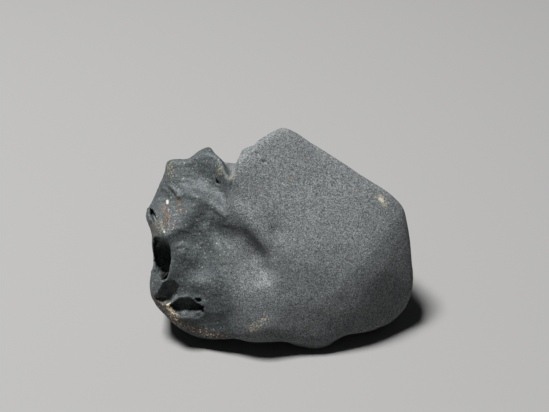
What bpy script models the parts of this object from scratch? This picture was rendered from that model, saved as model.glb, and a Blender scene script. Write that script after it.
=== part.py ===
"""One iron meteorite, whole, as it lies on a table.

It is one lump: a main block with a broad smooth face, and a dented and pitted lobe on its left.
The stone is modelled in its own axes about its core, with the broad face upright and looking along -Y,
X across it and Z up it. It is then tipped back by LEAN, which is how it lies, and cut flat where it rests.
All sizes are in millimetres until MM turns them into Blender's metres.
"""

import math

import bmesh
import bpy
import numpy as np
from mathutils import Matrix, Vector

MM = 0.001

# How it lies: the broad face leans back from upright by LEAN, with the core SOLE_DEPTH above the ground
LEAN = math.radians(35)
SOLE_DEPTH = 24.3

# The skin starts as a sphere well outside the stone, and is drawn in step by step
SPHERE_SUBDIVISIONS = 7
SPHERE_RADIUS = 62.0
DRAW_STEPS = 70
LONGEST_STEP = 0.8
# It is then given even squares and relaxed: each round moves its points RELAX_SHARE of the way to their
# neighbours' middle, then back onto the stone. Slopes are measured over SLOPE_STEP.
VOXEL = 0.75
RELAX_ROUNDS = 8
RELAX_SHARE = 0.5
SLOPE_STEP = 0.02
LEAST_STEEPNESS = 0.3
TINY = 1e-9
# The share of its triangles that is kept, and the shortest edge left along the cut
KEPT = 0.14
SHORTEST_EDGE = 0.12
# Faces that look down more squarely than this are the sole's, and are shaded flat
FLAT_BELOW = -0.9999

CRUST_COLOUR = (0.105, 0.108, 0.112, 1.0)
CRUST_METALLIC = 0.35
CRUST_ROUGHNESS = 0.62

# A facet is (name, direction it faces, distance from the core). A block is the space inside all its facets.
MAIN_BLOCK = [
    ("broad face", (0.05, -1.00, 0.08), 18.4),
    ("broad face, upper right", (0.20, -0.96, 0.14), 19.6),
    ("broad face, middle", (0.12, -0.98, -0.14), 18.9),
    ("broad face, low", (0.08, -0.93, -0.34), 20.9),
    ("broad face, lowest", (0.05, -0.80, -0.60), 25.2),
    ("broad face, right", (0.36, -0.93, -0.02), 23.6),
    ("broad face, low right", (0.38, -0.84, -0.38), 25.6),
    ("right shoulder", (0.62, -0.78, -0.08), 30.4),
    ("low right shoulder", (0.60, -0.62, -0.50), 34.0),
    ("upper right side", (0.52, 0.22, 0.85), 26.1),
    ("right end", (0.97, 0.20, 0.19), 36.0),
    ("right end, low", (0.99, 0.10, -0.12), 42.1),
    ("lower right corner", (0.66, 0.05, -0.74), 44.9),
    ("underside", (0.05, 0.15, -0.99), 28.2),
    ("upper left side", (-0.60, 0.16, 0.80), 24.4),
    ("left side", (-1.00, -0.10, -0.10), 14.5),
    ("back", (0.15, 1.00, 0.05), 24.0),
    ("back, left", (-0.45, 0.88, 0.10), 23.4),
    ("back, high", (0.05, 0.72, 0.70), 29.0),
    ("back, right", (0.70, 0.70, 0.20), 33.5),
    ("back, low right", (0.62, 0.55, -0.55), 36.0),
    ("sole", (0.00, 0.574, -0.819), 24.9),
]
LEFT_LOBE = [
    ("front", (-0.04, -1.00, 0.10), 16.4),
    ("front, low", (-0.14, -0.95, -0.22), 20.6),
    ("front, lowest", (-0.14, -0.80, -0.58), 26.8),
    ("front, left", (-0.42, -0.90, 0.08), 23.8),
    ("left shoulder", (-0.80, -0.60, 0.06), 34.6),
    ("top", (-0.09, 0.12, 0.99), 26.4),
    ("upper left side", (-0.86, 0.10, 0.50), 39.2),
    ("left end", (-1.00, 0.05, 0.00), 37.7),
    ("lower left side", (-0.70, 0.05, -0.72), 39.0),
    ("underside", (0.05, 0.12, -0.99), 28.0),
    ("back, left", (-0.62, 0.76, 0.10), 30.0),
    ("back", (-0.15, 0.98, 0.10), 22.4),
    ("inner end", (1.00, 0.00, 0.00), 6.0),
    ("inner front", (0.50, -0.85, 0.00), 8.6),
    ("inner underside", (0.50, 0.00, -0.85), 19.3),
    ("inner back", (0.50, 0.85, 0.00), 12.0),
    ("sole", (-0.20, 0.55, -0.80), 27.0),
]
BLOCK_SOFTNESS = 1.2
JOIN_SOFTNESS = 1.4

# Knobs stand out of the blocks and hollows are cut into them, each an ellipsoid:
# (name, centre, radii, turn about Y, dip of its front end, softness where it meets the stone)
KNOBS = [
    ("foot", (9.8, 1.0, -21.4), (10.6, 11.5, 11.8), 0, 0, 1.6),
    ("spur", (-21.9, -4.6, 21.8), (3.9, 7.6, 6.1), -16, 0, 0.9),
    ("side knob", (-32.6, -5.0, 7.2), (6.9, 7.0, 5.2), 0, 0, 1.0),
    ("low knob", (-33.6, -6.0, -13.6), (4.5, 6.5, 5.2), 0, 0, 0.8),
]
HOLLOWS = [
    ("scoop", (-11.4, -27.6, -5.2), (16.0, 13.6, 11.0), -46, -10, 0.8),
    ("notch", (-14.6, 6.0, 28.9), (4.5, 19.0, 6.6), 0, 12, 0.4),
    ("notch mouth", (-14.6, -13.0, 22.6), (1.7, 7.0, 4.6), 14, 12, 0.4),
    ("notch shoulder", (-15.2, -6.0, 28.2), (4.8, 14.0, 5.2), 0, 0, 0.4),
    ("ledge", (-10.3, 0.0, 30.8), (4.6, 22.0, 4.8), 0, 0, 0.3),
    ("end pit", (-34.9, -10.5, -5.4), (3.3, 9.5, 6.2), -10, -4, 0.2),
    ("small pit", (-31.3, -12.6, -14.2), (2.7, 7.0, 3.0), 24, 24, 0.2),
    ("low pit", (-27.0, -12.2, -19.9), (5.1, 10.0, 2.5), -6, 22, 0.2),
    ("foot arch", (22.5, -5.0, -32.6), (6.0, 16.0, 4.2), 0, 0, 0.8),
]

# Swells are soft and wide. Each lowers the front where its depth is above zero, and raises it where below:
# (name, place across, place up, half width, half height, turn about Y, depth)
FRONT_SWELLS = [
    ("upper dent", -23.4, 18.0, 5.5, 3.8, -8, 1.6),
    ("crest", -23.4, 11.6, 8.5, 1.7, -34, -1.0),
    ("crest end", -17.2, 8.6, 2.6, 2.2, -40, -1.5),
    ("valley", -15.4, 13.4, 2.2, 4.5, -12, 0.5),
    ("inner wall", -14.4, 12.0, 1.5, 7.0, 0, -0.9),
    ("ridge", -19.4, -1.6, 2.1, 7.5, 25, -1.3),
    ("side dent", -24.0, 2.8, 4.0, 4.6, -25, 2.2),
    ("side ledge", -28.2, -3.0, 2.6, 1.8, 0, -0.6),
    ("lower dent", -25.6, -8.8, 5.0, 2.6, 0, 0.6),
    ("lower ledge", -24.0, -12.6, 5.0, 2.6, 0, -0.5),
    ("side bulge", -31.0, 8.4, 4.2, 4.2, 0, -1.2),
    ("scoop tail", -9.5, -13.0, 8.0, 5.0, -50, 0.8),
]
# Presses lie over all of these and leave the outline alone. Each moves the front straight back where its
# depth is above zero, and draws it forward where below:
# (name, place across, place up, half width, half height, turn about Y, depth)
FRONT_PRESSES = [
    ("crown of the face", 21.9, -4.9, 14.0, 12.0, 48, -1.0),
    ("right end", 36.0, -9.7, 14.0, 6.0, 87, 1.5),
    ("across the low lobe", -29.2, -13.6, 14.0, 4.4, 48, 1.7),
    ("upper right slope", 8.6, 22.0, 14.0, 7.0, -40, 1.1),
    ("left edge of the face", -11.9, 20.3, 14.0, 5.2, -57, -1.3),
    ("lobe slope", -17.0, 13.1, 12.7, 4.1, -52, 1.7),
    ("foot, left", -4.6, -26.0, 11.2, 4.9, -36, -1.6),
    ("left end bulge", -32.0, -1.9, 9.6, 7.4, 67, -1.0),
    ("left shoulder", -34.0, 9.5, 11.1, 3.9, 36, 1.6),
    ("low front", -15.6, -23.8, 13.5, 4.4, 6, 1.2),
    ("right side of the scoop", -7.4, -3.6, 9.4, 4.4, -58, 1.1),
    ("left side of the scoop", -14.2, -6.2, 11.5, 4.8, 72, -1.0),
    ("brow of the scoop", -14.4, 10.3, 13.2, 2.7, -35, -1.1),
    ("left end fold", -34.6, 1.8, 8.8, 2.8, 13, -1.6),
    ("brow of the low pit", -26.8, -14.8, 7.6, 3.1, -23, 1.5),
    ("dent beside the scoop", -20.3, 0.1, 7.7, 3.8, 32, 1.2),
    ("rib down the lobe", -24.1, 8.6, 6.9, 4.2, -60, -1.1),
    ("low left of the face", -9.0, -21.5, 9.0, 5.0, 76, 0.3),
    ("bottom of the scoop", -16.4, -3.7, 7.7, 2.6, -44, -1.0),
    ("plate by the notch", -18.0, 18.5, 3.0, 8.4, -74, -0.8),
    ("foot, right", 14.2, -26.0, 9.3, 3.6, 6, 0.6),
    ("dimple of the face", 0.1, 2.7, 4.7, 3.3, -58, 0.5),
    ("upper corner of the scoop", -16.7, 4.8, 4.5, 2.6, -7, -0.9),
    ("low right of the face", 10.9, -16.7, 10.5, 3.6, -13, -0.2),
    ("middle of the face", 8.9, -3.8, 5.7, 4.0, 76, -0.3),
]
# A front swell or press acts fully as far back as FRONT_FULL, and fades out by FRONT_NONE
FRONT_FULL = -6.0
FRONT_NONE = 2.0
INTO_THE_STONE = np.array((0.0, 1.0, 0.0))

# Thumbprints are round and shallow, on the sides away from the broad face: (name, centre, radius, depth)
THUMBPRINTS = [
    ("back, upper right", (17.0, 24.0, 8.0), 9.0, 2.4),
    ("back, upper middle", (-2.0, 25.0, 13.0), 7.0, 1.9),
    ("back, low middle", (2.0, 24.0, -7.0), 8.5, 2.3),
    ("back, left", (-22.0, 21.0, 3.0), 8.5, 2.2),
    ("back, low right", (25.0, 20.0, -12.0), 7.0, 1.8),
    ("back, low left", (-18.0, 18.0, -17.0), 6.5, 1.6),
    ("top, right", (24.0, 5.0, 19.0), 7.0, 1.5),
    ("top, middle", (7.0, 10.0, 28.0), 6.5, 1.5),
    ("top, left", (-27.0, 7.0, 25.0), 6.0, 1.3),
    ("right end", (37.0, 13.0, -3.0), 6.0, 1.3),
    ("left end", (-37.0, 9.0, -3.0), 6.5, 1.5),
    ("underside, left", (-16.0, -1.0, -29.0), 6.0, 1.3),
    ("underside, right", (27.0, 3.0, -26.0), 5.5, 1.2),
]

# The worn skin is nowhere quite flat: it carries ripples, each (direction it runs in, wavelength, height).
# At the front they are only FRONT_RIPPLING as high.
FRONT_RIPPLING = 0.3
RIPPLES = [
    ((1.0, 0.3, 0.2), 13.0, 0.10),
    ((-0.3, 0.5, 1.0), 11.0, 0.09),
    ((0.7, -0.6, 0.8), 8.5, 0.07),
    ((-0.8, 0.2, 0.7), 7.1, 0.06),
    ((0.3, 1.0, -0.4), 9.7, 0.09),
    ((0.9, 0.5, -0.9), 5.9, 0.04),
    ((-0.2, 0.9, 0.9), 5.1, 0.04),
]


def soft_greatest(values, softness):
    """The greatest of several values at each point, with the change from one to the next rounded off."""
    top = values.max(axis=0)
    return top + softness * np.log(np.exp((values - top) / softness).sum(axis=0))


def block(points, facets):
    """Distance outside the block at each point, below zero inside it."""
    directions = np.array([direction for _, direction, _ in facets])
    directions /= np.linalg.norm(directions, axis=1)[:, None]
    reaches = np.array([reach for _, _, reach in facets])
    return soft_greatest(directions @ points.T - reaches[:, None], BLOCK_SOFTNESS)


def ellipsoid(points, centre, radii, turn, dip):
    """Distance outside an ellipsoid at each point, below zero inside it."""
    axes = Matrix.Rotation(math.radians(dip), 3, "X") @ Matrix.Rotation(math.radians(-turn), 3, "Y")
    own = (points - np.array(centre)) @ np.array(axes)
    scaled = own / np.array(radii)
    length = np.linalg.norm(scaled, axis=1) + TINY
    steepness = np.linalg.norm(scaled / np.array(radii), axis=1) + TINY
    return length * (length - 1) / steepness


def swelling(points, swells):
    """How far some front swells lower the stone at each point."""
    fade = np.clip((FRONT_NONE - points[:, 1]) / (FRONT_NONE - FRONT_FULL), 0, 1)
    total = np.zeros(len(points))
    for _, across, up, half_width, half_height, turn, depth in swells:
        angle = math.radians(turn)
        x = points[:, 0] - across
        z = points[:, 2] - up
        along = (x * math.cos(angle) + z * math.sin(angle)) / half_width
        over = (z * math.cos(angle) - x * math.sin(angle)) / half_height
        total += depth * np.exp(-along ** 2 - over ** 2)
    return total * fade * fade * (3 - 2 * fade)


def pressing(points):
    """How far the thumbprints lower the stone at each point."""
    total = np.zeros(len(points))
    for _, centre, radius, depth in THUMBPRINTS:
        total += depth * np.exp(-((points - np.array(centre)) ** 2).sum(axis=1) / radius ** 2)
    return total


def rippling(points):
    """How far the ripples raise the skin at each point."""
    total = np.zeros(len(points))
    for number, (direction, wavelength, height) in enumerate(RIPPLES):
        run = points @ (np.array(direction) / np.linalg.norm(direction))
        total += height * np.sin(2 * math.pi * run / wavelength + number)
    return total * np.interp(points[:, 1], [FRONT_FULL, FRONT_NONE], [FRONT_RIPPLING, 1])


def stone(points):
    """Distance outside the stone at each point, below zero inside it."""
    points = points - swelling(points, FRONT_PRESSES)[:, None] * INTO_THE_STONE
    blocks = np.stack([block(points, MAIN_BLOCK), block(points, LEFT_LOBE)])
    inside = soft_greatest(-blocks, JOIN_SOFTNESS)
    for _, *shape, softness in KNOBS:
        inside = soft_greatest(np.stack([inside, -ellipsoid(points, *shape)]), softness)
    outside = swelling(points, FRONT_SWELLS) + pressing(points) - inside
    for _, *shape, softness in HOLLOWS:
        outside = soft_greatest(np.stack([outside, -ellipsoid(points, *shape)]), softness)
    return outside - rippling(points)


def slope(points):
    """The direction in which the distance outside the stone grows at each point, and how fast."""
    here = stone(points)
    steps = np.eye(3) * SLOPE_STEP
    return np.stack([(stone(points + step) - here) / SLOPE_STEP for step in steps], axis=1)


def skin():
    """A fine sphere drawn in along its rays until it lies on the stone."""
    bm = bmesh.new()
    bmesh.ops.create_icosphere(bm, subdivisions=SPHERE_SUBDIVISIONS, radius=1.0)
    rays = np.array([vertex.co for vertex in bm.verts])
    reach = np.full(len(rays), SPHERE_RADIUS)
    for _ in range(DRAW_STEPS):
        reach -= np.clip(stone(rays * reach[:, None]), 0, LONGEST_STEP)
    for vertex, place in zip(bm.verts, rays * reach[:, None]):
        vertex.co = place * MM
    mesh = bpy.data.meshes.new("meteorite")
    bm.to_mesh(mesh)
    bm.free()
    return mesh


def relax(mesh):
    """Evens out the spacing of the points and brings each back onto the stone, down into every hollow."""
    points = np.array([vertex.co for vertex in mesh.vertices]) / MM
    edges = np.array([edge.vertices for edge in mesh.edges])
    neighbours = np.bincount(edges.ravel(), minlength=len(points))[:, None]
    for _ in range(RELAX_ROUNDS):
        total = np.zeros_like(points)
        np.add.at(total, edges[:, 0], points[edges[:, 1]])
        np.add.at(total, edges[:, 1], points[edges[:, 0]])
        points += RELAX_SHARE * (total / neighbours - points)
        rise = slope(points)
        steepness = np.maximum((rise ** 2).sum(axis=1), LEAST_STEEPNESS)
        points -= np.clip((stone(points) / steepness)[:, None] * rise, -LONGEST_STEP, LONGEST_STEP)
    for vertex, place in zip(mesh.vertices, points):
        vertex.co = place * MM


def reshape(thing, name, kind, **settings):
    """Gives thing the mesh that one modifier makes of it."""
    modifier = thing.modifiers.new(name, kind)
    for setting, value in settings.items():
        setattr(modifier, setting, value)
    changed = bpy.data.meshes.new_from_object(thing.evaluated_get(bpy.context.evaluated_depsgraph_get()))
    thing.modifiers.clear()
    thing.data = changed


def lay_down(mesh):
    """Tips the stone back, cuts it flat where it rests, and brings the ground to z = 0 below its middle."""
    bm = bmesh.new()
    bm.from_mesh(mesh)
    bmesh.ops.rotate(bm, verts=bm.verts, matrix=Matrix.Rotation(-LEAN, 3, "X"))
    everything = bm.verts[:] + bm.edges[:] + bm.faces[:]
    ground = Vector((0, 0, -SOLE_DEPTH * MM))
    bmesh.ops.bisect_plane(bm, geom=everything, plane_co=ground, plane_no=(0, 0, 1), clear_inner=True)
    bmesh.ops.remove_doubles(bm, verts=bm.verts, dist=SHORTEST_EDGE * MM)
    rim = [edge for edge in bm.edges if edge.is_boundary]
    bmesh.ops.triangle_fill(bm, edges=rim, use_beauty=True)
    bmesh.ops.triangulate(bm, faces=bm.faces)
    places = np.array([vertex.co for vertex in bm.verts])
    middle = (places.min(axis=0) + places.max(axis=0)) / 2
    bmesh.ops.translate(bm, verts=bm.verts, vec=(-middle[0], -middle[1], SOLE_DEPTH * MM))
    bmesh.ops.recalc_face_normals(bm, faces=bm.faces)
    for face in bm.faces:
        face.smooth = face.normal.z > FLAT_BELOW
    bm.to_mesh(mesh)
    bm.free()


def crust():
    """The dark grey crust that covers the whole stone."""
    material = bpy.data.materials.new("crust")
    material.use_nodes = True
    shader = material.node_tree.nodes["Principled BSDF"]
    shader.inputs["Base Color"].default_value = CRUST_COLOUR
    shader.inputs["Metallic"].default_value = CRUST_METALLIC
    shader.inputs["Roughness"].default_value = CRUST_ROUGHNESS
    return material


for old in list(bpy.data.objects):
    bpy.data.objects.remove(old)

# The skin is given an even mesh and relaxed, its triangles are thinned out, and the stone is laid down
body = bpy.data.objects.new("meteorite", skin())
bpy.context.scene.collection.objects.link(body)
reshape(body, "even skin", "REMESH", mode="VOXEL", voxel_size=VOXEL * MM)
relax(body.data)
reshape(body, "thinned", "DECIMATE", ratio=KEPT)
lay_down(body.data)
body.data.materials.append(crust())
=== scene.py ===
import math

import bmesh
import bpy
import numpy as np
from mathutils import Matrix, Vector, noise
from mathutils.bvhtree import BVHTree


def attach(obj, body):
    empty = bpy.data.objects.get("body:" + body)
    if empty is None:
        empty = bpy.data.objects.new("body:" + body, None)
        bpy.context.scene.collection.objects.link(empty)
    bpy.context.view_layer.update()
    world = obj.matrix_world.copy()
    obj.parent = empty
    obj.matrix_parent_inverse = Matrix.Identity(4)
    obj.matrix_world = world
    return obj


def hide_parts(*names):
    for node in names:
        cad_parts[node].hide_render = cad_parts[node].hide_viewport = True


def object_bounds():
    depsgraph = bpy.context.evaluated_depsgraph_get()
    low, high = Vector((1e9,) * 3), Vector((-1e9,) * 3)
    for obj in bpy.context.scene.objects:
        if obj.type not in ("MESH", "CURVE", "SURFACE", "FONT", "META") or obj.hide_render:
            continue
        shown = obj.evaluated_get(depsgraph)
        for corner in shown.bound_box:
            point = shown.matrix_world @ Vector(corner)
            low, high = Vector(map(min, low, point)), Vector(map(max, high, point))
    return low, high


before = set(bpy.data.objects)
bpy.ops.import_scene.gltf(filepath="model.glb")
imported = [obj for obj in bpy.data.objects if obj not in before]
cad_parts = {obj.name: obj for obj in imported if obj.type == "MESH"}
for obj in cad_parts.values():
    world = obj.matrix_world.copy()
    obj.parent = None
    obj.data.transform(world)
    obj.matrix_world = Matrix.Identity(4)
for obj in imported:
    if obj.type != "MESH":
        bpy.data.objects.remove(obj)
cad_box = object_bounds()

# ---------------------------------------------------------------------------
# The stone: one lump of nickel iron, melted smooth on its way down through the
# air. The melt set as a thin, dark, fine-grained crust over the whole of it, and
# years outside left rust and pale dirt in its hollows. It leans back on a flat sole.
# ---------------------------------------------------------------------------
MM = 0.001

# Places on the stone are in millimetres and given as if it stood upright: across, into
# the stone, and up. It leans back from there, and its middle comes to lie over its footing.
LEAN = math.radians(35)
FOOTING = np.array((0.0, -0.94, 24.3))
lean_back = np.array(Matrix.Rotation(-LEAN, 3, "X"))

stone = bpy.data.objects.new("stone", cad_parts["meteorite"].data.copy())
bpy.context.scene.collection.objects.link(stone)


def weld(piece, gap):
    """Joins the points of a mesh that lie within a gap of each other"""
    work = bmesh.new()
    work.from_mesh(piece.data)
    bmesh.ops.remove_doubles(work, verts=work.verts, dist=gap)
    work.to_mesh(piece.data)
    work.free()


def reshape(piece, kind, **settings):
    """Works one modifier into the mesh of a piece"""
    modifier = piece.modifiers.new(kind.lower(), kind)
    for name, value in settings.items():
        setattr(modifier, name, value)
    worked = piece.evaluated_get(bpy.context.evaluated_depsgraph_get())
    changed = bpy.data.meshes.new_from_object(worked)
    piece.modifiers.clear()
    piece.data = changed


# The plain solid's flat faces are rounded into one even skin
WELD_GAP = 0.001
SKIN_MESH = 0.54
weld(stone, WELD_GAP * MM)
reshape(stone, "SUBSURF", levels=1)
reshape(stone, "SMOOTH", factor=0.5, iterations=3)
reshape(stone, "REMESH", mode="VOXEL", voxel_size=SKIN_MESH * MM)
reshape(stone, "SMOOTH", factor=0.5, iterations=4)


def refine(piece, chosen):
    """Cuts each chosen face of a mesh into four"""
    work = bmesh.new()
    work.from_mesh(piece.data)
    work.faces.ensure_lookup_table()
    edges = {edge for face in work.faces if chosen[face.index] for edge in face.edges}
    bmesh.ops.subdivide_edges(work, edges=list(edges), cuts=1, use_grid_fill=True, smooth=0.0)
    bmesh.ops.triangulate(work, faces=[face for face in work.faces if len(face.verts) > 4])
    work.to_mesh(piece.data)
    work.free()


# The front of the pitted end, left of this line, is worked finer than the rest
FINE_END = -15.0
middles = np.empty(len(stone.data.polygons) * 3)
stone.data.polygons.foreach_get("center", middles)
middles = (middles.reshape(-1, 3) / MM - FOOTING) @ lean_back
refine(stone, (middles[:, 0] < FINE_END) & (middles[:, 1] < 0.0))
reshape(stone, "SMOOTH", factor=0.5, iterations=2)


def places_of(piece):
    """Where the points of a mesh are on the upright stone"""
    flat = np.empty(len(piece.data.vertices) * 3)
    piece.data.vertices.foreach_get("co", flat)
    return (flat.reshape(-1, 3) / MM - FOOTING) @ lean_back


def put(piece, places):
    """Moves the points of a mesh to places on the upright stone"""
    piece.data.vertices.foreach_set("co", ((places @ lean_back.T + FOOTING) * MM).ravel())
    piece.data.update()


# Small shifts of the outline: (spot seen from the front, how far round it they reach, shift)
NUDGES = [
    ((-12.6, 24.2), 2.0, (0.9, 0.0, -0.2)),
    ((-27.6, 25.8), 2.6, (0.2, 0.0, -1.1)),
    ((-32.6, 22.6), 2.0, (-0.7, 0.0, 0.6)),
    ((-7.9, 28.4), 0.8, (0.3, 0.0, -0.5)),
]
places = places_of(stone)
for (across, up), reach, shift in NUDGES:
    far = np.hypot(places[:, 0] - across, places[:, 2] - up)
    places += np.exp(-(far / reach) ** 2)[:, None] * np.array(shift)
put(stone, places)

# Soft hollows and swells of the worn end, a swell below zero:
# (middle seen from the front, half width along and across, turn, depth)
FOLDS = [
    ((-22.6, 6.2), (3.4, 2.8), 30, 0.7),
    ((-2.3, -1.6), (6.5, 3.8), -57, -1.0),
    ((-12.8, -13.3), (6.5, 3.8), 88, -0.9),
    ((-23.2, -24.7), (5.5, 4.0), 75, 1.0),
    ((-24.1, 22.5), (6.5, 3.1), 7, 0.5),
    ((-20.9, -4.6), (6.5, 2.9), 77, 1.0),
    ((-33.2, 1.5), (6.5, 2.6), 29, -0.8),
    ((-17.2, 7.9), (6.5, 2.0), -26, 1.0),
    ((-34.7, 2.6), (6.5, 1.9), -46, -1.0),
    ((-18.1, 14.5), (4.5, 3.8), -6, 0.6),
    ((-25.0, 4.7), (6.5, 2.9), -88, -0.6),
    ((-32.8, 9.3), (5.7, 2.4), 40, 0.8),
    ((-5.1, -3.7), (6.4, 2.6), 21, 0.6),
    ((-4.5, -9.7), (6.5, 1.8), -58, 0.7),
    ((-15.3, 5.6), (4.5, 1.9), -67, -0.8),
    ((-25.0, -20.3), (3.6, 1.6), 27, -1.0),
    ((-18.9, 3.4), (3.7, 2.0), -55, 0.7),
    ((-14.2, -6.2), (4.9, 2.4), -76, -0.4),
    ((-27.1, 14.8), (3.3, 1.8), -1, 0.7),
    ((-12.4, 16.3), (3.9, 1.9), -55, -0.5),
    ((-1.4, 2.4), (2.6, 2.0), -75, 0.7),
    ((-23.1, -12.0), (3.7, 1.7), 26, -0.5),
    ((-14.4, 9.0), (1.9, 1.8), -37, 0.7),
    ((-31.5, 14.4), (3.8, 1.0), -38, -0.7),
    ((-23.7, -21.0), (2.1, 0.9), 15, -1.0),
    ((-18.0, 11.4), (2.0, 2.7), 73, -0.3),
    ((-4.0, -8.4), (2.3, 2.4), 0, 0.7),
]
FOLDS_END = 1.0        # they stop at this depth into the stone,
FOLDS_EASE = 5.0       # after easing out over this much
places = places_of(stone)
pressed = np.zeros(len(places))
for (across, up), (length, width), turn, depth in FOLDS:
    turn = math.radians(turn)
    from_middle = places[:, [0, 2]] - (across, up)
    run = from_middle @ (math.cos(turn), math.sin(turn)) / length
    side = from_middle @ (-math.sin(turn), math.cos(turn)) / width
    pressed += depth * np.exp(-run * run - side * side)
places[:, 1] += pressed * np.clip((FOLDS_END - places[:, 1]) / FOLDS_EASE, 0, 1)
put(stone, places)

# Two depths into the stone: well in front of it, and about where the pitted end's front lies
OUT_IN_FRONT = -60.0
AT_THE_FRONT = -9.0


def on_front(piece, spots):
    """The places on the front of the skin at some spots, each given across and up"""
    tree = BVHTree.FromPolygons([tuple(place) for place in places_of(piece)],
                                [face.vertices for face in piece.data.polygons])
    found = []
    for across, up in spots:
        place = tree.ray_cast(Vector((across, OUT_IN_FRONT, up)), Vector((0.0, 1.0, 0.0)))[0]
        if place is None or place.y > 0.0:
            place = tree.find_nearest(Vector((across, AT_THE_FRONT, up)))[0]
        found.append(np.array(place))
    return found


def outside_of(rim, places):
    """How far each place is outside a closed rim, seen from the front, and below zero inside it"""
    rim = np.array(rim, float)
    spots = places[:, [0, 2]]
    nearest = np.full(len(spots), np.inf)
    inside = np.zeros(len(spots), bool)
    for start, end in zip(rim, np.roll(rim, -1, axis=0)):
        run = end - start
        part = np.clip((spots - start) @ run / (run @ run), 0, 1)
        nearest = np.minimum(nearest, np.linalg.norm(spots - start - part[:, None] * run, axis=1))
        between = (start[1] > spots[:, 1]) != (end[1] > spots[:, 1])
        crossing = start[0] + (spots[:, 1] - start[1]) * run[0] / (run[1] or 1e-9)
        inside ^= between & (spots[:, 0] < crossing)
    return np.where(inside, -nearest, nearest)


# One flat break between two of the pits, where a piece came off, seen from the front
BREAK = [(-37.9, -8.4), (-36.0, -8.9), (-33.9, -10.6), (-32.9, -11.7), (-34.2, -13.4),
         (-35.4, -15.0), (-36.6, -16.0), (-37.9, -13.6)]
BREAK_MIDDLE = (-35.8, -12.4)
BREAK_SLOPES = (-0.85, 0.1)     # how fast it goes into the stone across and up
BREAK_EDGE = 1.2                # width over which it runs out into the skin
BREAK_BACK = -5.0               # only skin in front of this depth is flattened
BREAK_FLATNESS = 0.9
places = places_of(stone)
outside = outside_of(BREAK, places)
middle = on_front(stone, [BREAK_MIDDLE])[0]
flat = middle[1] + (places[:, [0, 2]] - middle[[0, 2]]) @ BREAK_SLOPES
share = np.clip(0.5 - outside / BREAK_EDGE, 0, 1) * (places[:, 1] < BREAK_BACK) * BREAK_FLATNESS
places[:, 1] += share * (flat - places[:, 1])
put(stone, places)

# Pits go straight into the front:
# (name, rim seen from the front, depth, width of the wall, how ragged the rim is)
PITS = [
    ("end pit tip", [(-32.4, -7.2), (-32.4, -8.6), (-33.0, -10.8), (-33.8, -11.3), (-34.7, -10.2),
                     (-35.4, -8.8), (-34.0, -7.0)], 7.0, 0.8, 0.1),
    ("end pit", [(-36.6, 0.9), (-35.2, 1.0), (-33.8, 0.3), (-32.2, -0.9), (-31.7, -2.7),
                 (-31.6, -4.7), (-31.9, -6.8), (-32.3, -8.4), (-33.0, -10.6), (-33.7, -11.3),
                 (-34.5, -10.6), (-35.8, -9.0), (-36.6, -7.4), (-37.0, -4.6), (-37.0, -1.2)],
     3.0, 0.8, 0.3),
    ("small pit", [(-33.0, -11.8), (-30.9, -12.0), (-29.8, -13.6), (-29.9, -15.6), (-30.8, -17.2),
                   (-32.4, -17.9), (-34.4, -17.8), (-36.0, -16.7), (-35.0, -15.2), (-34.0, -13.6)],
     2.0, 1.8, 0.4),
    ("low pit", [(-31.8, -18.7), (-30.8, -17.6), (-29.1, -16.8), (-27.1, -16.5), (-25.3, -17.1),
                 (-24.3, -18.2), (-22.0, -19.0), (-23.5, -19.9), (-25.5, -20.6), (-27.1, -21.4),
                 (-29.1, -21.7), (-30.4, -20.9), (-31.4, -19.7)], 2.4, 0.8, 0.25),
    ("low hole", [(-24.5, -16.7), (-23.1, -16.5), (-22.6, -17.2), (-23.9, -17.6)], 1.6, 0.4, 0.05),
    ("small hole", [(-18.5, 18.0), (-17.8, 17.3), (-17.5, 16.4), (-18.3, 16.8)], 1.8, 0.4, 0.1),
    ("slit", [(-38.2, 9.3), (-37.4, 9.1), (-35.7, 6.1), (-35.7, 5.0), (-36.7, 5.5), (-38.0, 8.0)],
     3.0, 0.4, 0.1),
    ("edge nicks", [(-8.4, 27.9), (-7.2, 28.4), (-6.9, 27.7), (-7.8, 27.1)], 0.8, 0.5, 0.2),
    ("edge nicks", [(-11.2, 24.9), (-10.7, 25.0), (-11.0, 23.2), (-11.5, 23.5)], 0.5, 0.5, 0.2),
    ("edge nicks", [(-6.9, 25.6), (-6.2, 25.4), (-5.8, 24.2), (-6.4, 24.0)], 0.4, 0.5, 0.2),
    ("edge nicks", [(-5.4, 22.9), (-4.6, 23.1), (-4.0, 22.4), (-4.7, 22.0)], 0.45, 0.5, 0.2),
]
PIT_REACH = 3.0        # how far outside its rim a pit still shapes the skin
SKIN_BACK = 2.0        # the skin round a pit lies in front of this depth
WALLS_BACK = 4.0       # and the walls inside it in front of this one
DEEPEST = 0.5          # no pit is pressed further back than this
RAG_SIZE = 0.9         # size of the lumps that make a rim ragged
LIP_HEIGHT = 0.1       # the melt stands up round a pit in a low lip,
LIP_OUT = 0.45         # this far outside the rim
LIP_WIDTH = 0.4        # and this wide
INSIDE_STARTS = 0.3    # the walls inside start this far within the rim


def lumps(places, size):
    """Cloudy bumps of a size in millimetres, between about -1 and 1"""
    return np.array([noise.noise(Vector(place / size)) for place in places])


def facings_of(piece):
    """Which way the skin faces at each point, on the upright stone"""
    flat = np.empty(len(piece.data.vertices) * 3)
    piece.data.vertices.foreach_get("normal", flat)
    return flat.reshape(-1, 3) @ lean_back


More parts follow.
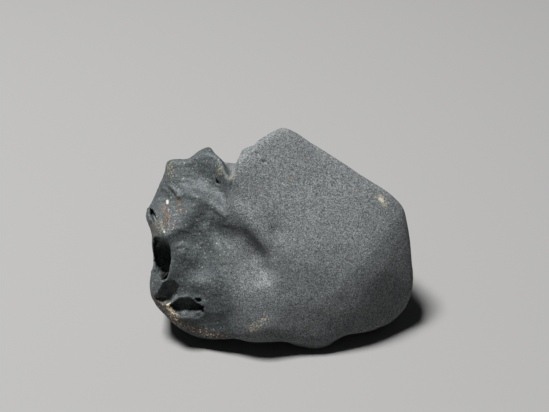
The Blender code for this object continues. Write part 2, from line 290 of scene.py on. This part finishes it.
def carve(piece, rim, depth, wall, ragged):
    """Presses a pit into the front of the skin, and tells how far inside it each point is"""
    places = places_of(piece)
    outside = outside_of(rim, places)
    skin = (np.abs(outside) < PIT_REACH) & (places[:, 1] < SKIN_BACK)
    close = skin | ((outside < 0) & (places[:, 1] < WALLS_BACK))
    beyond = outside[close] + ragged * lumps(places[close], RAG_SIZE)
    sunk = np.clip(0.5 - beyond / wall, 0, 1)
    lip = np.exp(-((beyond - LIP_OUT) / LIP_WIDTH) ** 2) * LIP_HEIGHT
    to_front = np.clip(-2.0 * facings_of(piece)[close, 1], 0, 1)
    before = places[close, 1]
    after = before + to_front * (depth * sunk * sunk * (3 - 2 * sunk) - lip)
    places[close, 1] = np.minimum(after, np.maximum(before, DEEPEST))
    put(piece, places)
    inside = np.zeros(len(places))
    inside[close] = np.clip(0.5 - (beyond + INSIDE_STARTS) / wall, 0, 1)
    return inside


deep = np.zeros(len(stone.data.vertices))
for name, rim, depth, wall, ragged in PITS:
    deep = np.maximum(deep, carve(stone, rim, depth, wall, ragged))

# Lines are worked into the skin, or raised on it where the depth is below zero. Each eases
# out over one reach, and over another on the side that the way points to:
# (name, path seen from the front, (reach, other reach), depth, way to the other side)
LINES = [
    ("scoop bed", [(-20.1, 4.6), (-17.0, 3.8), (-14.5, 3.0), (-11.4, 1.3), (-8.0, -1.9),
                   (-5.6, -5.0), (-4.9, -8.4), (-5.0, -12.3)], (5.2, 6.0), 0.95, (-0.8, 0.0, -0.6)),
    ("slope crest", [(-30.2, 13.2), (-27.5, 13.7), (-25.1, 13.0), (-22.3, 12.0), (-19.9, 10.6),
                     (-17.4, 8.9), (-15.0, 6.4)], (1.5, 3.6), -0.7, (0.4, 0.0, 0.9)),
    ("side crest", [(-21.4, 5.2), (-20.2, 3.4), (-18.7, 1.6), (-17.3, -0.7), (-16.3, -3.6),
                    (-15.8, -6.4)], (1.8, 3.5), -0.5, (-0.9, 0.0, -0.4)),
    ("knob groove", [(-34.4, 16.8), (-33.2, 15.6), (-31.9, 14.3), (-30.4, 12.9)],
     (1.1, 1.1), 0.5, None),
    ("knob rim", [(-32.2, 16.2), (-31.0, 15.2), (-29.9, 14.0), (-29.0, 12.4)],
     (0.9, 1.6), -0.45, (0.7, 0.0, 0.7)),
    ("edge line", [(-12.1, 22.9), (-12.3, 21.0), (-13.4, 18.0), (-14.2, 15.2), (-14.8, 12.0)],
     (0.8, 0.8), 0.8, None),
    ("flake", [(-38.8, 9.6), (-38.4, 7.4), (-37.6, 5.2)], (0.8, 0.8), -0.5, None),
    ("pit ridge", [(-35.4, -17.8), (-33.9, -18.5), (-32.2, -18.5), (-30.9, -17.5),
                   (-28.6, -16.5), (-26.0, -16.0)], (0.8, 0.8), -0.3, None),
    ("dent fold", [(-31.6, 1.4), (-28.9, 2.1), (-26.2, 1.7)], (1.6, 3.0), 0.2, (0.0, 0.0, -1.0)),
    ("dent fold", [(-30.4, -1.6), (-28.0, -1.2), (-26.0, -2.0)], (0.9, 1.6), -0.3, (0.0, 0.0, 1.0)),
]


def along(path, places):
    """For each place: how far it is from a path, the way there, and how far along the path"""
    path = np.array(path, float)
    lengths = np.linalg.norm(np.diff(path, axis=0), axis=1)
    starts = np.concatenate(([0.0], np.cumsum(lengths)))
    nearest = np.full(len(places), np.inf)
    way = np.zeros_like(places)
    share = np.zeros(len(places))
    for start, end, length, before in zip(path[:-1], path[1:], lengths, starts):
        run = end - start
        part = np.clip((places - start) @ run / (run @ run), 0, 1)
        gap = places - (start + part[:, None] * run)
        far = np.linalg.norm(gap, axis=1)
        nearer = far < nearest
        nearest[nearer] = far[nearer]
        way[nearer] = gap[nearer]
        share[nearer] = (before + part[nearer] * length) / starts[-1]
    return nearest, way, share


def score(piece, path, reaches, depth, second):
    """Works a line into the skin, deepest along its path and eased out on both sides"""
    places = places_of(piece)
    far, way, share = along(on_front(piece, path), places)
    near_second = way @ np.array(second or (0.0, 0.0, 0.0)) > 0
    left = np.clip(1 - far / np.where(near_second, reaches[1], reaches[0]), 0, 1)
    fade = np.clip(np.sin(np.pi * share), 0, 1) ** 0.5
    put(piece, places - facings_of(piece) * (depth * fade * left * left * (3 - 2 * left))[:, None])


for name, path, reaches, depth, second in LINES:
    score(stone, path, reaches, depth, second)

# The skin is nowhere quite smooth, and the worn left end and the back are rougher than the
# broad face: (size of the lumps, height on the broad face, height elsewhere)
LUMPS = [
    (9.0, 0.10, 0.25),
    (3.6, 0.05, 0.14),
    (1.5, 0.03, 0.08),
    (0.8, 0.01, 0.04),
]
FACE_LEFT, FACE_LEFT_EASE = -11.0, 5.0     # where the broad face ends, and how it goes over
FACE_BACK, FACE_BACK_EASE = -8.0, 8.0      # into the rest, to the left and towards the back
places = places_of(stone)
facings = facings_of(stone)
at_left = np.clip((FACE_LEFT - places[:, 0]) / FACE_LEFT_EASE, 0, 1)
at_back = np.clip((places[:, 1] - FACE_BACK) / FACE_BACK_EASE, 0, 1)
rough = np.maximum(at_left, at_back)
raised = np.zeros(len(places))
for size, low, high in LUMPS:
    raised += lumps(places, size) * (low + (high - low) * rough)

# Fine wrinkles run across the worn end, drawn out sideways and inwards
WRINKLE_SQUEEZE = np.array((0.3, 0.6, 1.0))
WRINKLE_SIZE = 0.9
WRINKLE_HEIGHT = 0.07
raised += lumps(places * WRINKLE_SQUEEZE, WRINKLE_SIZE) * WRINKLE_HEIGHT * at_left
put(stone, places + facings * raised[:, None])

# Nothing stands outside the plain solid's box, so the sole stays flat
corners = np.empty(len(stone.data.vertices) * 3)
stone.data.vertices.foreach_get("co", corners)
corners = np.clip(corners.reshape(-1, 3), np.array(cad_box[0]), np.array(cad_box[1]))
stone.data.vertices.foreach_set("co", corners.ravel())
stone.data.update()
for face in stone.data.polygons:
    face.use_smooth = True

# Stains, and the patches of painted shade, lie on the crust along these paths, seen from the front,
# and thin out to nothing at
# one and a half times their spread: (stain or painted shade, path, spread, strength)
STAINS_AND_SHADE = [
    ("gold", [(-32.6, -18.8), (-31.4, -20.8), (-29.8, -23.9)], 1.0, 1.0),
    ("gold", [(-26.0, -26.2), (-22.0, -27.4), (-18.0, -28.0)], 0.6, 0.8),
    ("gold", [(-8.6, -25.4), (-7.0, -24.3), (-5.5, -22.9), (-3.6, -21.6)], 0.8, 0.8),
    # gold specks on the right low rim, laid partly as a painted glint along that edge
    ("gold", [(28.6, -25.4), (30.4, -24.0)], 0.8, 0.5),
    ("lip", [(-37.2, -16.0), (-35.7, -17.4), (-33.6, -19.7), (-32.0, -21.2), (-30.2, -23.2),
             (-28.0, -24.8), (-24.6, -26.2), (-20.6, -27.2), (-16.0, -27.8)], 1.3, 1.0),
    ("rust", [(-29.6, 12.2), (-29.2, 10.5), (-28.5, 8.8)], 0.8, 0.8),
    ("rust", [(-33.4, 9.5), (-33.0, 8.2), (-32.4, 6.4), (-31.9, 5.0)], 0.9, 0.9),
    ("rust", [(-36.7, 4.1), (-36.0, 1.0)], 1.2, 0.6),
    ("rust", [(-6.4, 15.4), (-6.3, 15.1)], 0.4, 1.0),
    ("rust", [(2.6, 18.3), (2.7, 18.1)], 0.4, 1.0),
    ("rust", [(-15.0, 12.4), (-15.2, 10.8)], 0.9, 0.4),
    ("ochre", [(-17.4, 20.9), (-17.2, 19.5)], 0.7, 1.0),
    ("ochre", [(-14.0, 18.9), (-14.1, 18.2)], 0.6, 1.3),
    ("ochre", [(-32.4, 22.0), (-32.0, 20.0)], 1.4, 0.4),
    ("ochre", [(-35.2, 5.4), (-34.4, 3.8)], 1.3, 0.6),
    ("chalk", [(-32.9, 11.7), (-32.8, 11.1)], 0.45, 1.0),
    ("chalk", [(-33.3, 2.9), (-33.2, 2.7)], 0.3, 1.0),
    ("chalk", [(28.9, 12.2), (29.5, 11.7)], 0.6, 1.0),
    # painted shade: darkening laid where the shape alone comes out too bright, below the low pit,
    # along the top edge by the notch, on the flat break, at the end pit's tip and beside the rust
    # spots
    ("painted_shade", [(-30.8, -22.3), (-27.5, -22.3), (-24.0, -21.0), (-22.4, -19.8)], 1.6, 0.43),
    ("painted_shade", [(-12.4, 24.0), (-10.8, 26.4), (-7.8, 28.9), (-4.2, 31.0)], 1.8, 0.22),
    ("painted_shade", [(-37.0, -11.0), (-35.6, -13.4)], 2.0, 0.2),
    ("painted_shade", [(-35.4, -8.4), (-34.6, -9.6), (-33.9, -10.7)], 0.6, 1.5),
    ("painted_shade", [(-33.0, 10.5), (-31.5, 5.5)], 2.8, 0.16),
    ("dust", [(-31.0, 9.4), (-30.6, 6.6)], 2.2, 1.0),
    ("dust", [(-24.4, 22.8), (-25.2, 20.2)], 1.2, 0.8),
    ("worn", [(28.4, 12.6), (29.3, 11.9), (30.5, 10.8)], 0.9, 1.0),
]
STAIN_AND_SHADE_ENDS = 1.5


def mark(piece, name, strength):
    """Writes down how strongly something lies on each point of the skin"""
    piece.data.attributes.new(name, "FLOAT", "POINT").data.foreach_set("value", strength)


places = places_of(stone)
for kind in ("gold", "lip", "rust", "ochre", "chalk", "dust", "worn", "painted_shade"):
    strength = np.zeros(len(places))
    for lying, path, spread, full in STAINS_AND_SHADE:
        if lying == kind:
            far = along(on_front(stone, path), places)[0]
            strength = np.maximum(strength, full * np.clip(STAIN_AND_SHADE_ENDS - far / spread, 0, 1))
    mark(stone, kind, strength)

# The pitted end is coloured darker, but not inside the notch beside it
DARK_LEFT, DARK_BACK, DARK_EASE = -11.0, 4.0, 6.0
NOTCH = [(-17.2, 25.0), (-11.8, 25.0), (-12.9, 20.6), (-13.8, 18.1), (-15.2, 20.4)]
NOTCH_EDGE = 0.6
pitted = np.clip((DARK_LEFT - places[:, 0]) / DARK_EASE, 0, 1)
pitted *= np.clip((DARK_BACK - places[:, 1]) / DARK_EASE, 0, 1)
pitted *= np.clip(0.5 + outside_of(NOTCH, places) / NOTCH_EDGE, 0, 1)
mark(stone, "pitted", pitted)
mark(stone, "deep", deep)

# The crust: dark grey, dull and finely grained, with pale and dark grains side by side
crust = bpy.data.materials.new("fusion_crust")
crust.use_nodes = True
tree = crust.node_tree
shader = tree.nodes["Principled BSDF"]


def node(kind, inputs=(), **settings):
    """A new node in the crust, with its settings, and its inputs by name or number"""
    made = tree.nodes.new(kind)
    for name, value in settings.items():
        setattr(made, name, value)
    for name, value in dict(inputs).items():
        if isinstance(value, bpy.types.NodeSocket):
            tree.links.new(value, made.inputs[name])
        else:
            made.inputs[name].default_value = value
    return made


def reckon(operation, a, b):
    """One sum on two values or sockets"""
    return node("ShaderNodeMath", {0: a, 1: b}, operation=operation).outputs[0]


def ramp(value, low, high, bottom=0.0, top=1.0):
    """A value eased from bottom to top as it goes from low to high"""
    return node("ShaderNodeMapRange", {"Value": value, "From Min": low, "From Max": high,
                                       "To Min": bottom, "To Max": top}, clamp=True).outputs[0]


def clouds(size):
    """Cloudy noise of a size in millimetres, from 0 to 1"""
    return node("ShaderNodeTexNoise", {"Vector": spot, "Scale": 1 / size, "Detail": 3.0,
                                       "Roughness": 0.6}).outputs[0]


def crystals(size):
    """Small cells of a size in millimetres, each with three chance values of its own"""
    cells = node("ShaderNodeTexVoronoi", {"Vector": spot, "Scale": 1 / size})
    return node("ShaderNodeSeparateColor", {0: cells.outputs["Color"]}).outputs


def stain(name):
    """How strongly a stain, the painted shade, the painted light in the pits or the pitted end's
    darkening lies on the skin, from 0 to 1
    """
    return node("ShaderNodeAttribute", attribute_name=name).outputs["Fac"]


def blend(share, first, second, way="MIX"):
    """One colour laid over another by a share"""
    return node("ShaderNodeMix", {0: share, 6: first, 7: second}, data_type="RGBA",
                blend_type=way).outputs[2]


def tinted(share, colour, tint):
    """A colour multiplied by a tint, by a share"""
    return blend(share, colour, tint, "MULTIPLY")


# Sizes of its crystals, of the flecks of a stain, of ragged edges and of the slow mottle
SMALL_CRYSTAL, LARGE_CRYSTAL = 0.15, 0.25
FLECK = 0.3
RAGGED = 0.45
MOTTLE = 6.0
MOTTLE_FROM, MOTTLE_TO = 0.3, 0.7
where = node("ShaderNodeTexCoord").outputs["Object"]
spot = node("ShaderNodeVectorMath", {0: where, 3: 1 / MM}, operation="SCALE").outputs[0]
small = crystals(SMALL_CRYSTAL)
large = crystals(LARGE_CRYSTAL)
flecks = crystals(FLECK)
ragged = clouds(RAGGED)
mottle = ramp(clouds(MOTTLE), MOTTLE_FROM, MOTTLE_TO)

# The crystals go from dark to pale, most of them dark, and the pitted end is darker all over
SMALL_SHARE, LARGE_SHARE = 0.6, 0.4
MOSTLY_DARK = 1.4
DARK_CRYSTAL = (0.0076, 0.0082, 0.0086, 1)
PALE_CRYSTAL = (0.259, 0.277, 0.282, 1)
DARKER, LIGHTER = (0.9, 0.9, 0.92, 1), (1.1, 1.1, 1.08, 1)
PITTED_END = (0.455, 0.49, 0.495, 1)
speckle = reckon("ADD", reckon("MULTIPLY", small[0], SMALL_SHARE),
                 reckon("MULTIPLY", large[0], LARGE_SHARE))
colour = blend(reckon("POWER", speckle, MOSTLY_DARK), DARK_CRYSTAL, PALE_CRYSTAL)
colour = tinted(1.0, colour, blend(mottle, DARKER, LIGHTER))
colour = tinted(stain("pitted"), colour, PITTED_END)

# The colours of what lies on the crust, the tint of the painted shade, and the painted light on the
# walls of a pit
GOLD = (0.40, 0.33, 0.19, 1)
RUST = (0.15, 0.078, 0.036, 1)
OCHRE = (0.19, 0.162, 0.080, 1)
CHALK = (0.38, 0.37, 0.30, 1)
BROWN = (0.075, 0.042, 0.03, 1)
DUST = (0.20, 0.20, 0.19, 1)
BARE = (0.26, 0.24, 0.17, 1)
# painted shade, laid where the shape alone comes out too bright
PAINTED_SHADE = (0.20, 0.13, 0.10, 1)
# painted light: the walls inside the pits are made paler to stand in for light thrown back inside
# them
PAINTED_PIT_LIGHT = (1.9, 1.8, 1.75, 1)
GLINT = (0.31, 0.295, 0.265, 1)
FLECK_COVER = 0.85              # how fully a fleck hides the crust
GLINT_COVER = 0.65
NO_GLINT = 0.991                # share of the crystals that don't glint
SOAK_RAG = 0.8                  # how far the ragged clouds push a blotch's edge about
SOAK_FROM, SOAK_TO = 0.8, 1.3   # a blotch comes in between these two strengths


def strewn(colour, where_from, share, paint):
    """Flecks of another colour, strewn where a stain lies"""
    lying = reckon("LESS_THAN", flecks[0], reckon("MULTIPLY", where_from, share))
    return blend(reckon("MULTIPLY", lying, FLECK_COVER), colour, paint)


def soaked(colour, where_from, strength, paint):
    """A ragged blotch of another colour where a stain lies"""
    edge = reckon("ADD", where_from, reckon("MULTIPLY", ragged, SOAK_RAG))
    return blend(ramp(edge, SOAK_FROM, SOAK_TO, 0.0, strength), colour, paint)


# The walls inside the pits are painted paler than the skin, as painted light thrown back inside
# them, and the painted shade darkens where it lies
colour = tinted(reckon("SUBTRACT", stain("deep"), stain("painted_shade")), colour, PAINTED_PIT_LIGHT)
colour = tinted(stain("painted_shade"), colour, PAINTED_SHADE)
colour = soaked(colour, stain("lip"), 0.4, BROWN)
colour = strewn(colour, stain("lip"), 0.10, GOLD)
colour = strewn(colour, stain("gold"), 0.28, GOLD)
colour = strewn(colour, stain("rust"), 0.45, RUST)
colour = strewn(colour, stain("ochre"), 0.5, OCHRE)
colour = strewn(colour, stain("dust"), 0.06, DUST)
colour = strewn(colour, stain("worn"), 0.6, BARE)
colour = soaked(colour, stain("chalk"), 0.9, CHALK)
# painted glints: a few crystals are coloured pale to stand in for their sparkle
glint = reckon("GREATER_THAN", flecks[1], NO_GLINT)
colour = blend(reckon("MULTIPLY", glint, GLINT_COVER), colour, GLINT)
tree.links.new(colour, shader.inputs["Base Color"])

# It is dull, a little less so at the worn end, and its grain stands up a little
LEAST_DULL, MOST_DULL = 0.65, 0.9
WORN_SMOOTH = 0.2
GRAIN_STRENGTH = 0.6
GRAIN_HEIGHT = 0.08
dullness = reckon("SUBTRACT", ramp(small[2], 0.0, 1.0, LEAST_DULL, MOST_DULL),
                  reckon("MULTIPLY", stain("pitted"), WORN_SMOOTH))
tree.links.new(dullness, shader.inputs["Roughness"])
shader.inputs["Metallic"].default_value = 0.1
shader.inputs["Specular IOR Level"].default_value = 0.3
relief = node("ShaderNodeBump", {"Strength": GRAIN_STRENGTH, "Distance": GRAIN_HEIGHT * MM,
                                 "Height": speckle})
tree.links.new(relief.outputs[0], shader.inputs["Normal"])

stone.data.materials.clear()
stone.data.materials.append(crust)
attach(stone, "root")
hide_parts("meteorite")

# ---------------------------------------------------------------------------
# The floor: one plain pale sheet of matt card, wide enough to run out of sight.
# The stone's flat sole rests on it.
# ---------------------------------------------------------------------------
FLOOR_WIDTH = 8.0
PALE_CARD = (0.2, 0.198, 0.195, 1)
bpy.ops.mesh.primitive_plane_add(size=FLOOR_WIDTH, location=(0, 0, 0))
floor = bpy.context.object
floor.name = "floor"
card = bpy.data.materials.new("pale_floor")
card.use_nodes = True
matt = card.node_tree.nodes["Principled BSDF"]
matt.inputs["Base Color"].default_value = PALE_CARD
matt.inputs["Roughness"].default_value = 0.9
matt.inputs["Specular IOR Level"].default_value = 0.2
floor.data.materials.append(card)

# ---------------------------------------------------------------------------
# The light: one softbox high over the stone and a little to its left, turned
# down at it, and a faint even glow from all round so that no shadow is black.
# ---------------------------------------------------------------------------
SOFTBOX_PLACE = (-0.3, 0.0, 1.07)
SOFTBOX_AIM = (0.0, 0.0, 0.02)
SOFTBOX_WIDTH = 0.25
SOFTBOX_WATTS = 32.0
lamp = bpy.data.lights.new("key", "AREA")
lamp.shape = "SQUARE"
lamp.size = SOFTBOX_WIDTH
lamp.energy = SOFTBOX_WATTS
softbox = bpy.data.objects.new("key", lamp)
softbox.location = SOFTBOX_PLACE
beam = Vector(SOFTBOX_AIM) - Vector(SOFTBOX_PLACE)
softbox.rotation_euler = beam.to_track_quat("-Z", "Y").to_euler()
bpy.context.scene.collection.objects.link(softbox)

GLOW = (0.9, 0.93, 1.0, 1)
GLOW_STRENGTH = 0.05
world = bpy.data.worlds.new("studio")
bpy.context.scene.world = world
world.use_nodes = True
around = world.node_tree.nodes["Background"]
around.inputs["Color"].default_value = GLOW
around.inputs["Strength"].default_value = GLOW_STRENGTH

# ---------------------------------------------------------------------------
# The camera: it looks down at the stone's broad face as squarely as the stone
# leans back, from about a forearm's length, through a fairly long lens.
# ---------------------------------------------------------------------------
EYE = np.array((-1.65, -320.25, 10.2))
view = bpy.data.cameras.new("camera")
view.lens = 70
view.sensor_width = 36
view.clip_start = 0.01
camera = bpy.data.objects.new("camera", view)
camera.location = (lean_back @ EYE + FOOTING) * MM
camera.rotation_euler = (math.pi / 2 - LEAN, 0, 0)
bpy.context.scene.collection.objects.link(camera)
bpy.context.scene.camera = camera
bpy.context.scene.view_settings.view_transform = "Standard"
